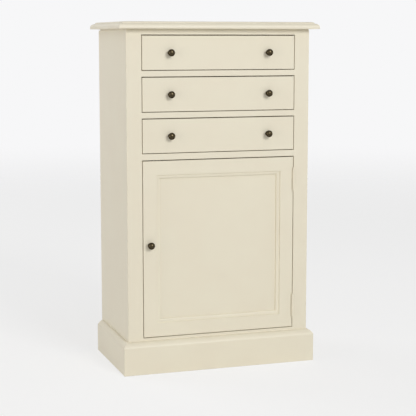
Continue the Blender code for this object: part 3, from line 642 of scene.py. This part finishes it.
for low_z, high_z in openings:
    pick_faces(face_frame, lambda centre, normal: abs(centre.x) < opening_x
               and abs(normal.y) > ALONG_SHARE and low_z < centre.z < high_z)
    bpy.ops.mesh.delete(type="FACE")
    bridge_holes(face_frame, low_z, high_z)

pick_faces(face_frame, lambda centre, normal: abs(centre.x) < opening_x and centre.z < foot_z)
bpy.ops.mesh.delete(type="FACE")
pick_edges(face_frame, lambda middle, way: near(middle.z, foot_z) and abs(middle.x) < SLACK
           and abs(way.x) > ALONG_SHARE)
bpy.ops.mesh.edge_face_add()
for x in (-opening_x, opening_x):
    pick_edges(face_frame, lambda middle, way: near(middle.x, x)
               and middle.z < foot_z + SLACK)
    bpy.ops.mesh.edge_face_add()
turn_outwards(face_frame)
round_edges(face_frame, FRAME_ARRIS, 4, lambda middle, way: near(middle.y, front_y)
            and near(abs(middle.x), -carcass_low.x) and abs(way.z) > ALONG_SHARE)
round_edges(face_frame, FRAME_ARRIS, 3, lambda middle, way: near(middle.y, front_y) and any(
    (near(abs(middle.x), opening_x) and a < middle.z < b)
    or (abs(middle.x) < SLACK and (near(middle.z, a) or near(middle.z, b)))
    for a, b in openings))
print("openings: %d" % len(openings))

# %% [markdown]
# A butt hinge is let in: the frame and the door each lose a bed for their leaf and a round
# hollow for the knuckles. A cylinder and a block, each a little larger than the hinge, are cut
# out of both. The space left round the knuckles is the dark line that shows where a hinge is.

# %% Beds for the hinges
hinge = next(joint for joint in frame["joints"] if joint["type"] == "hinge")
hinge_x, hinge_y = hinge["pos_m"][0], hinge["pos_m"][1]
KNUCKLE_RADIUS = 3.75 * MM
LEAF_THICKNESS = 1.5 * MM
HALF_LEAF_GAP = 0.3 * MM
HINGE_CLEARANCE = 0.3 * MM
SPACE_IN_FRAME = 0.8 * MM
SPACE_IN_DOOR = 1.4 * MM


def carve(piece, cutter, operation="DIFFERENCE"):
    """Cuts the cutter out of the piece, or keeps what they share, and clears the cutter."""
    only(piece)
    cut = piece.modifiers.new("carve", "BOOLEAN")
    cut.operation, cut.solver, cut.object = operation, "EXACT", cutter
    bpy.ops.object.modifier_apply(modifier=cut.name)
    bpy.data.objects.remove(cutter)


def cut_hinge_beds(piece, leaf_kind, clearance):
    """Cuts the leaf beds and knuckle hollows of both hinges into the frame or the door."""
    for level in ("lower", "upper"):
        leaf_low, leaf_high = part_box("hinge_%s_%s_leaf" % (level, leaf_kind))
        low_z, high_z = leaf_low.z - HINGE_CLEARANCE, leaf_high.z + HINGE_CLEARANCE
        drop_selection()
        bpy.ops.mesh.primitive_cylinder_add(
            vertices=48, radius=KNUCKLE_RADIUS + clearance, depth=high_z - low_z,
            location=(hinge_x, hinge_y, (low_z + high_z) / 2))
        hollow = bpy.context.object
        place_in_mesh()
        carve(piece, hollow)
        reach = HALF_LEAF_GAP + LEAF_THICKNESS + HINGE_CLEARANCE
        far = hinge_x + (reach if leaf_kind == "frame" else -reach)
        bed = block("bed", (min(far, hinge_x), hinge_y, low_z),
                    (max(far, hinge_x), leaf_high.y + HINGE_CLEARANCE, high_z))
        carve(piece, bed)


cut_hinge_beds(face_frame, "frame", SPACE_IN_FRAME)
settle(face_frame, "carcass", ["stile_left", "stile_right"] + RAILS, cream)

# %% [markdown]
# The plinth is a board with a rounded top edge that runs round three sides, mitred and then
# rubbed round at the two front corners. It starts as one block as large as its outside. Insets
# climb the arc of its top, a second block with round corners trims it, and the carcass's own
# footprint is cut out of it, which leaves three walls.

# %% Plinth
PLINTH_LEDGE = 2.5 * MM
PLINTH_ROUND_HEIGHT = 16 * MM
PLINTH_BULGE = 2.5 * MM
PLINTH_STEPS = 10
PLINTH_CORNER = 2.5 * MM
PLINTH_FOOT_ARRIS = 1.6 * MM
BACK_OVERRUN = 100 * MM
CUT_OVERRUN = 1 * MM

low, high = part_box("plinth_left")
plinth_low = Vector((low.x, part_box("plinth_front")[0].y, 0))
plinth_high = Vector((-low.x, high.y, high.z))
thickness = carcass_low.x - low.x
shoulder = high.z - PLINTH_ROUND_HEIGHT
# the back is left long, so that the arc climbed there is cut off with the rest
plinth = block("painted_plinth", plinth_low,
               (plinth_high.x, plinth_high.y + BACK_OVERRUN, shoulder))
pick_faces(plinth, lambda centre, normal: normal.z > ALONG_SHARE)
across = thickness - PLINTH_LEDGE
chord = math.hypot(across, PLINTH_ROUND_HEIGHT)
arc_radius = (chord * chord / 4 + PLINTH_BULGE ** 2) / (2 * PLINTH_BULGE)
half_sweep = math.asin(chord / 2 / arc_radius)
slope = math.atan2(PLINTH_ROUND_HEIGHT, across)
facet = 2 * arc_radius * math.sin(half_sweep / PLINTH_STEPS)
for step in range(PLINTH_STEPS):
    rise = slope + half_sweep - half_sweep / PLINTH_STEPS * (2 * step + 1)
    bpy.ops.mesh.inset(thickness=facet * math.cos(rise), depth=facet * math.sin(rise))
trimmer = block("trimmer", (plinth_low.x, plinth_low.y, -CUT_OVERRUN),
                (plinth_high.x, plinth_high.y, high.z + CUT_OVERRUN))
round_edges(trimmer, PLINTH_CORNER, 6, lambda middle, way: abs(way.z) > ALONG_SHARE
            and middle.y < 0)
only(trimmer)
carve(plinth, trimmer, "INTERSECT")
carve(plinth, block("footprint", (carcass_low.x, front_y, -CUT_OVERRUN),
                    (-carcass_low.x, high.y + BACK_OVERRUN, high.z + CUT_OVERRUN)))
round_edges(plinth, PLINTH_FOOT_ARRIS, 3, lambda middle, way: near(middle.z, 0) and (
    near(middle.y, plinth_low.y) or near(abs(middle.x), plinth_high.x)))
settle(plinth, "carcass", ["plinth_front", "plinth_left", "plinth_right"], cream)

# %% [markdown]
# The plain boards have the right shape already, but their edges are as sharp as a drawing's. A
# real edge is rubbed down and catches a thin line of light. So each of these boards is copied,
# its loose triangles are merged and its flat ones dissolved, and the edges on its outside get a
# small round. Faces that are painted get the paint, and the rest stay timber.

# %% Boards with rubbed edges
DOUBLES_APART = 0.005 * MM
FLAT_WITHIN_DEGREES = 1
BOARD_ROUND = 0.6 * MM
# a face that is turned outwards by this much is on the outside of a side panel
OUTWARD_SHARE = 0.3


def copy_of(mesh, name):
    """A new object with its own copy of a mesh."""
    # edit mode is left first, because a copy made there misses the last edits
    drop_selection()
    copied = bpy.data.objects.new(name, mesh.copy())
    bpy.context.scene.collection.objects.link(copied)
    return copied


def merged_copy(node_name, piece_name):
    """A copy of a board's mesh with its triangles joined up again."""
    copied = copy_of(frame["nodes"][node_name].data, piece_name)
    edit(copied)
    bpy.ops.mesh.select_all(action="SELECT")
    bpy.ops.mesh.remove_doubles(threshold=DOUBLES_APART)
    bpy.ops.mesh.dissolve_limited(angle_limit=math.radians(FLAT_WITHIN_DEGREES))
    only(copied)
    return copied


def rubbed_board(node_name, body, material, axes, width=BOARD_ROUND, painted=None):
    """A board whose outer edges are rounded. painted says which faces have paint on them."""
    board = merged_copy(node_name, node_name + "_rubbed")
    low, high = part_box(node_name)

    def outer(middle, way):
        """True for an edge where two sides of the board's box meet."""
        sides = sum(near(middle[i], low[i]) or near(middle[i], high[i]) for i in range(3))
        return sides >= 2

    round_edges(board, width, 2, outer)
    settle(board, body, [node_name], material)
    lay_grain(board, axes)
    if painted:
        cover(board, cream, painted)


for side, sign in (("left", -1), ("right", 1)):
    rubbed_board("side_panel_" + side, "carcass", glued_pine, "yxz",
                 painted=lambda centre, normal: near(centre.x, sign * -carcass_low.x)
                 or normal.x * sign > OUTWARD_SHARE or centre.y > side_high.y - SLACK)
rubbed_board("back_panel", "carcass", birch, "xyz")
rubbed_board("base_rail_back", "carcass", pine, "yzx")
for name in ("shelf", "cupboard_floor", "drawer_deck"):
    rubbed_board(name, "carcass", glued_pine, "yzx")
for side in ("left", "right"):
    for name in ("runner_upper_", "runner_middle_", "guide_lower_", "kicker_"):
        rubbed_board(name + side, "carcass", pine, "zxy")

# %% [markdown]
# A drawer front is a painted board that stands flush in its opening. Its front arrises are
# rounded by a millimetre, which draws the pale line round it in the photo. Its top and bottom
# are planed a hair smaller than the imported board, which opens the gap to the dark line that the
# photo shows. The back of it is bare, and a groove in it takes the drawer's base.

# %% Drawers
PLANED_OFF_BELOW = Vector((0, 0, 0.2 * MM))
PLANED_OFF_ABOVE = Vector((0, 0, 0.4 * MM))
FRONT_ARRIS = 1 * MM
BACK_ARRIS = 0.5 * MM
GROOVE_CLEARANCE = 0.3 * MM
GROOVE_OVERRUN = 10 * MM
DRAWER_BOARD_ROUND = 1 * MM

for number in (1, 2, 3):
    body = "drawer_%d" % number
    low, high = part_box(body + "_front")
    front = block(body + "_painted_front", low + PLANED_OFF_BELOW, high - PLANED_OFF_ABOVE)
    round_edges(front, FRONT_ARRIS, 4, lambda middle, way: near(middle.y, low.y))
    round_edges(front, BACK_ARRIS, 2, lambda middle, way: near(middle.y, high.y))
    base_low, base_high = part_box(body + "_base")
    carve(front, block("groove", base_low - Vector((1, 1, 1)) * GROOVE_CLEARANCE,
                       base_high + Vector((GROOVE_CLEARANCE, GROOVE_OVERRUN, GROOVE_CLEARANCE))))
    settle(front, body, [body + "_front"], cream)
    lay_grain(front, "zyx")
    cover(front, pine, lambda centre, normal: normal.y > ALONG_SHARE or (
        abs(centre.x) < high.x - SLACK and low.y + SLACK < centre.y
        and low.z + SLACK < centre.z < high.z - SLACK))
    for part, wood, axes in (("side_left", pine, "zxy"), ("side_right", pine, "zxy"),
                             ("back", pine, "zyx"), ("base", birch, "yzx")):
        rubbed_board("%s_%s" % (body, part), body, wood, axes,
                     DRAWER_BOARD_ROUND)

# %% [markdown]
# The door is a frame of four members with the moulding cut on their inner edge, round a flat
# panel that sits in a groove. As with the face frame, paint hides the joints, so the frame is one
# block here. Insets and a small step cut the moulding down to the panel, the back is inset too,
# and a bridge joins the two holes. The groove is cut last, and the panel stays as it is.

# %% Door frame
MEMBER_FLAT = 44 * MM
MOULDING_WIDTH = 11 * MM
MOULDING_STEP = 3.2 * MM
MOULDING_FALL = 4 * MM
MOULDING_SWEEP = math.radians(34)
MOULDING_FACETS = 10
DOOR_PLANED_BELOW = 2 * PLANED_OFF_BELOW

lock_low, lock_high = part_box("door_stile_lock")
hung_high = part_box("door_stile_hinge")[1]
panel_low, panel_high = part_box("door_panel")
moulding_drop = panel_low.y - lock_low.y - MOULDING_STEP - MOULDING_FALL
door = block("painted_door_frame", lock_low + DOOR_PLANED_BELOW, hung_high - PLANED_OFF_ABOVE)
pick_faces(door, lambda centre, normal: normal.y < -ALONG_SHARE)
bpy.ops.mesh.inset(thickness=MEMBER_FLAT)
grow(y=MOULDING_STEP)
lean = math.atan2(MOULDING_FALL, MOULDING_WIDTH) - MOULDING_SWEEP / 2
turns = [lean + MOULDING_SWEEP * step / MOULDING_FACETS for step in range(MOULDING_FACETS + 1)]
radius = MOULDING_WIDTH / (math.sin(turns[-1]) - math.sin(turns[0]))
for a, b in zip(turns, turns[1:]):
    bpy.ops.mesh.inset(thickness=radius * (math.sin(b) - math.sin(a)),
                       depth=-radius * (math.cos(a) - math.cos(b)))
grow(y=moulding_drop)
bpy.ops.mesh.delete(type="FACE")
pick_faces(door, lambda centre, normal: normal.y > ALONG_SHARE)
bpy.ops.mesh.inset(thickness=MEMBER_FLAT + MOULDING_WIDTH)
bpy.ops.mesh.delete(type="FACE")
bridge_holes(door, lock_low.z, lock_high.z)
turn_outwards(door)
round_edges(door, FRONT_ARRIS, 4, lambda middle, way: near(middle.y, lock_low.y) and (
    near(abs(middle.x), -lock_low.x) or near(middle.z, lock_low.z + DOOR_PLANED_BELOW.z)
    or near(middle.z, lock_high.z - PLANED_OFF_ABOVE.z)))
round_edges(door, BACK_ARRIS, 2, lambda middle, way: near(middle.y, lock_high.y))
spare = Vector((GROOVE_CLEARANCE, 0, GROOVE_CLEARANCE))
carve(door, block("groove", panel_low - spare, panel_high + spare))
cut_hinge_beds(door, "door", SPACE_IN_DOOR)
settle(door, "door",
       ["door_stile_lock", "door_stile_hinge", "door_rail_top", "door_rail_bottom"], cream)
frame["nodes"]["door_panel"].material_slots[0].material = cream
print("moulding: %.1f mm deep" % ((panel_low.y - lock_low.y) / MM))

# %% [markdown]
# Each knob is a slightly flattened ball on a short neck with a flat foot. A ball is added and
# pressed along its axis. The faces round its back pole are dissolved into one, and that face is
# extruded back for the neck, out for the foot and back to the wood.

# %% Pattern of the knobs
KNOB_RADIUS = 11 * MM
KNOB_DEPTH = 17 * MM
NECK_RADIUS = 4.25 * MM
FOOT_RADIUS = 7.5 * MM
FOOT_THICKNESS = 3 * MM
FOOT_ARRIS = 0.9 * MM
NECK_FILLET = 0.7 * MM
# a direction lies across an axis if no more than this much of it is along it
ACROSS_SHARE = 0.1
# a point past this much of a round's radius is on its rim
RIM_SHARE = 0.9

low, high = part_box("door_knob")
knob_x, knob_z = (low.x + high.x) / 2, (low.z + high.z) / 2
head_y = low.y + KNOB_DEPTH / 2
drop_selection()
bpy.ops.mesh.primitive_uv_sphere_add(segments=48, ring_count=24, radius=KNOB_RADIUS,
                                     location=(knob_x, head_y, knob_z),
                                     rotation=(math.pi / 2, 0, 0),
                                     scale=(1, 1, KNOB_DEPTH / 2 / KNOB_RADIUS))
knob = bpy.context.object
knob.name = "knob_pattern"
place_in_mesh()


def off_axis(point):
    """How far a point is from the knob's axis."""
    return math.hypot(point.x - knob_x, point.z - knob_z)


pick_faces(knob, lambda centre, normal: centre.y > head_y and off_axis(centre) < NECK_RADIUS)
bpy.ops.mesh.dissolve_faces()
ring = bmesh.from_edit_mesh(knob.data)
start = next(face for face in ring.faces if face.select)
ring_radius = off_axis(start.verts[0].co)
neck_end = front_y - FOOT_THICKNESS
grow(y=neck_end - start.verts[0].co.y)
grow()
bpy.ops.transform.resize(value=(FOOT_RADIUS / ring_radius, 1, FOOT_RADIUS / ring_radius),
                         center_override=(knob_x, neck_end, knob_z))
grow(y=front_y - neck_end)
round_edges(knob, FOOT_ARRIS, 3, lambda middle, way: near(middle.y, neck_end)
            and off_axis(middle) > FOOT_RADIUS * RIM_SHARE)
round_edges(knob, NECK_FILLET, 3, lambda middle, way: near(middle.y, neck_end)
            and off_axis(middle) < ring_radius / RIM_SHARE and abs(way.y) < ACROSS_SHARE)
print("knob: %d mm wide, %.1f mm from the wood" % (2 * KNOB_RADIUS / MM, (front_y - low.y) / MM))

# %% [markdown]
# The pattern is made where the door's knob is. A copy for each drawer knob is moved from there,
# with a mesh of its own, so that its blotches of patina are its own too.

# %% Seven knobs
KNOB_SMOOTH_BELOW_DEGREES = 40

knob_nodes = ["door_knob"] + ["drawer_%d_knob_%s" % (number, side) for number in (1, 2, 3)
                              for side in ("left", "right")]
knob_places = {}
for name in knob_nodes:
    low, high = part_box(name)
    body, x, z = name.split("_knob")[0], (low.x + high.x) / 2, (low.z + high.z) / 2
    knob_places[name] = (body, x, z)
    copied = copy_of(knob.data, name + "_turned")
    copied.location = (x - knob_x, 0, z - knob_z)
    only(copied)
    place_in_mesh()
    settle(copied, body, [name], bronze, KNOB_SMOOTH_BELOW_DEGREES)
bpy.data.objects.remove(knob)

# %% [markdown]
# Behind each knob, a pan-headed screw comes through the wood. Its head is a low dome with a
# slot. The hinges, the strike plate and the back have smaller, flat screws. A head is a disc,
# inset for its domed or flat top, with a strip across it cut down for the slot. Each size is
# made once, standing on the origin and pointing up, and copies of it are turned and put where
# they belong.

# %% Screws
# the dome rises in two rings: how far in each goes, and how much of the dome it climbs
DOME_RING_SHARES = ((0.2, 0.6), (0.3, 0.4))
SLOT_HALF_WIDTH_SHARE = 0.13
SLOT_REACH_SHARE = 1.2
SLOT_FLOOR_SHARE = 0.4


def screw_pattern(name, radius, height, dome):
    """A slotted screw head that stands on the origin and points up."""
    drop_selection()
    bpy.ops.mesh.primitive_cylinder_add(vertices=32, radius=radius, depth=height,
                                        location=(0, 0, height / 2))
    head = bpy.context.object
    head.name = name
    place_in_mesh()
    pick_faces(head, lambda centre, normal: normal.z > ALONG_SHARE)
    for inward, upward in DOME_RING_SHARES:
        bpy.ops.mesh.inset(thickness=radius * inward, depth=dome * upward)
    reach, half = radius * SLOT_REACH_SHARE, radius * SLOT_HALF_WIDTH_SHARE
    slot = block("slot", (-reach, -half, (height + dome) * SLOT_FLOOR_SHARE),
                 (reach, half, height + dome * 2))
    carve(head, slot)
    return head


def put_copy(pattern, name, place, facing, body, material=zinc):
    """A copy of a pattern, turned so that its top faces that way, and put in its place."""
    copied = copy_of(pattern.data, name)
    copied.location = place
    copied.rotation_euler = Vector(facing).to_track_quat("Z", "Y").to_euler()
    only(copied)
    place_in_mesh()
    settle(copied, body, (), material)


pan_head = screw_pattern("pan_head", radius=4.5 * MM, height=1.2 * MM, dome=1.2 * MM)
flat_head = screw_pattern("flat_head", radius=2.6 * MM, height=0.15 * MM, dome=0.05 * MM)
back_of_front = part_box("drawer_1_front")[1].y
for name, (body, x, z) in knob_places.items():
    put_copy(pan_head, name + "_screw", (x, back_of_front, z), (0, 1, 0), body)

# %% [markdown]
# The back is screwed to the side panels and the boards between them, from behind. The screws
# are sunk until they are nearly flush with the ply, about every 160 mm.

# %% Screws of the back
SCREWS_UP = 7
SCREWS_ACROSS = 4
SCREW_INSET = 9 * MM

low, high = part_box("back_panel")
first, last = low.z + 0.5 * (high.z - low.z) / SCREWS_UP, high.z - SCREW_INSET
places = [(sign * (high.x - SCREW_INSET), first + (last - first) * step / (SCREWS_UP - 1))
          for sign in (-1, 1) for step in range(SCREWS_UP)]
places += [(low.x + (high.x - low.x) * (step + 0.5) / SCREWS_ACROSS, z)
           for z in (last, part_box("cupboard_floor")[1].z - SCREW_INSET)
           for step in range(SCREWS_ACROSS)]
for number, (x, z) in enumerate(places, 1):
    put_copy(flat_head, "back_screw_%02d" % number, (x, high.y, z), (0, 1, 0), "carcass")
print("screws in the back: %d" % len(places))

# %% [markdown]
# The shelf lies on four steel pins, pushed into holes in the side panels. A pin is a thin peg
# with a wider collar against the panel, and the end of the shelf lies on the collar. One is
# made as a disc, with a smaller inset face extruded from it for the peg, and then copied.

# %% Shelf pins
PEG_RADIUS = 2.5 * MM
COLLAR_RADIUS = 4 * MM
COLLAR_THICKNESS = 1.5 * MM
PEG_LENGTH = 8 * MM
PIN_ARRIS = 0.4 * MM
PIN_INSET = 45 * MM

drop_selection()
bpy.ops.mesh.primitive_cylinder_add(vertices=32, radius=COLLAR_RADIUS, depth=COLLAR_THICKNESS,
                                    location=(0, 0, COLLAR_THICKNESS / 2))
pin = bpy.context.object
pin.name = "shelf_pin_pattern"
place_in_mesh()
pick_faces(pin, lambda centre, normal: normal.z > ALONG_SHARE)
bpy.ops.mesh.inset(thickness=COLLAR_RADIUS - PEG_RADIUS)
grow(z=PEG_LENGTH)
round_edges(pin, PIN_ARRIS, 2, lambda middle, way: abs(way.z) < ACROSS_SHARE and (
    near(middle.z, COLLAR_THICKNESS + PEG_LENGTH)
    or middle.xy.length > COLLAR_RADIUS * RIM_SHARE))
shelf_low, shelf_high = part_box("shelf")
wall_x = side_high.x
for side, sign in (("left", 1), ("right", -1)):
    for end, y in (("front", shelf_low.y + PIN_INSET), ("back", shelf_high.y - PIN_INSET)):
        put_copy(pin, "shelf_pin_%s_%s" % (side, end),
                 (sign * wall_x, y, shelf_low.z - COLLAR_RADIUS), (sign, 0, 0), "carcass")
bpy.data.objects.remove(pin)

# %% [markdown]
# The hinges are steel butt hinges, painted over with the cabinet. Their leaves have the right
# shape and only want their doubles merged, so that the knuckles can be smoothed. Each leaf is
# held by three screws, which show when the door is open.

# %% Hinges
LEAF_SMOOTH_BELOW_DEGREES = 30
HINGE_SCREW_SHARES = (0.14, 0.5, 0.86)
HINGE_SCREW_STAGGERS = (2 * MM, -2 * MM, 2 * MM)
HINGE_SCREW_INSET = 7 * MM

for level in ("upper", "lower"):
    for kind, body, sign in (("frame", "carcass", 1), ("door", "door", -1)):
        name = "hinge_%s_%s_leaf" % (level, kind)
        low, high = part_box(name)
        leaf = merged_copy(name, name + "_smooth")
        settle(leaf, body, [name], hinge_cream, LEAF_SMOOTH_BELOW_DEGREES)
        face_x = hinge_x + sign * HALF_LEAF_GAP
        screws = zip(HINGE_SCREW_SHARES, HINGE_SCREW_STAGGERS)
        for number, (share, stagger) in enumerate(screws, 1):
            y = high.y - HINGE_SCREW_INSET + stagger
            place = (face_x, y, low.z + (high.z - low.z) * share)
            put_copy(flat_head, "%s_screw_%d" % (name, number), place, (-sign, 0, 0), body,
                     hinge_cream)

# %% [markdown]
# A magnetic catch under the deck holds the door shut: a brown plastic case with two steel pole
# pieces that reach its front, and a steel strike plate on the back of the door.

# %% Catch and strike plate
CASE_ARRIS = 0.6 * MM
POLE_INSET = 11 * MM
POLE_HALF_SPACING = 3.5 * MM
POLE_HALF_THICKNESS = 1 * MM
POLE_PROUD = 0.15 * MM
POLE_DEPTH = 3 * MM
POLE_ARRIS = 0.3 * MM
STRIKE_CORNER = 3 * MM
STRIKE_ARRIS = 0.4 * MM
STRIKE_SCREW_OFFSET = 15.5 * MM

low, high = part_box("magnet_catch")
case = merged_copy("magnet_catch", "magnet_catch_case")
round_edges(case, CASE_ARRIS, 2, lambda middle, way: near(middle.y, low.y))
settle(case, "carcass", ["magnet_catch"], brown_plastic)
middle_z = (low.z + high.z) / 2
for number, z in enumerate((middle_z - POLE_HALF_SPACING, middle_z + POLE_HALF_SPACING), 1):
    pole = block("magnet_pole_%d" % number,
                 (low.x + POLE_INSET, low.y - POLE_PROUD, z - POLE_HALF_THICKNESS),
                 (high.x - POLE_INSET, low.y + POLE_DEPTH, z + POLE_HALF_THICKNESS))
    round_edges(pole, POLE_ARRIS, 2, lambda middle, way: middle.y < low.y)
    settle(pole, "carcass", (), zinc)
plate_low, plate_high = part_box("strike_plate")
plate = block("strike_plate_pressed", plate_low, plate_high)
round_edges(plate, STRIKE_CORNER, 5, lambda middle, way: abs(way.y) > ALONG_SHARE)
round_edges(plate, STRIKE_ARRIS, 2, lambda middle, way: near(middle.y, plate_high.y))
settle(plate, "door", ["strike_plate"], zinc)
for number, sign in enumerate((-1, 1), 1):
    x = (plate_low.x + plate_high.x) / 2 + sign * STRIKE_SCREW_OFFSET
    put_copy(flat_head, "strike_plate_screw_%d" % number,
             (x, plate_high.y, (plate_low.z + plate_high.z) / 2), (0, 1, 0), "door")
for pattern in (pan_head, flat_head):
    bpy.data.objects.remove(pattern)

# %% [markdown]
# The imported boards that no piece stands for are still shown, and each is listed.

# %% Imported boards still shown
for name, cad_node in frame["nodes"].items():
    if not cad_node.hide_render:
        print("shown as packed:", name)
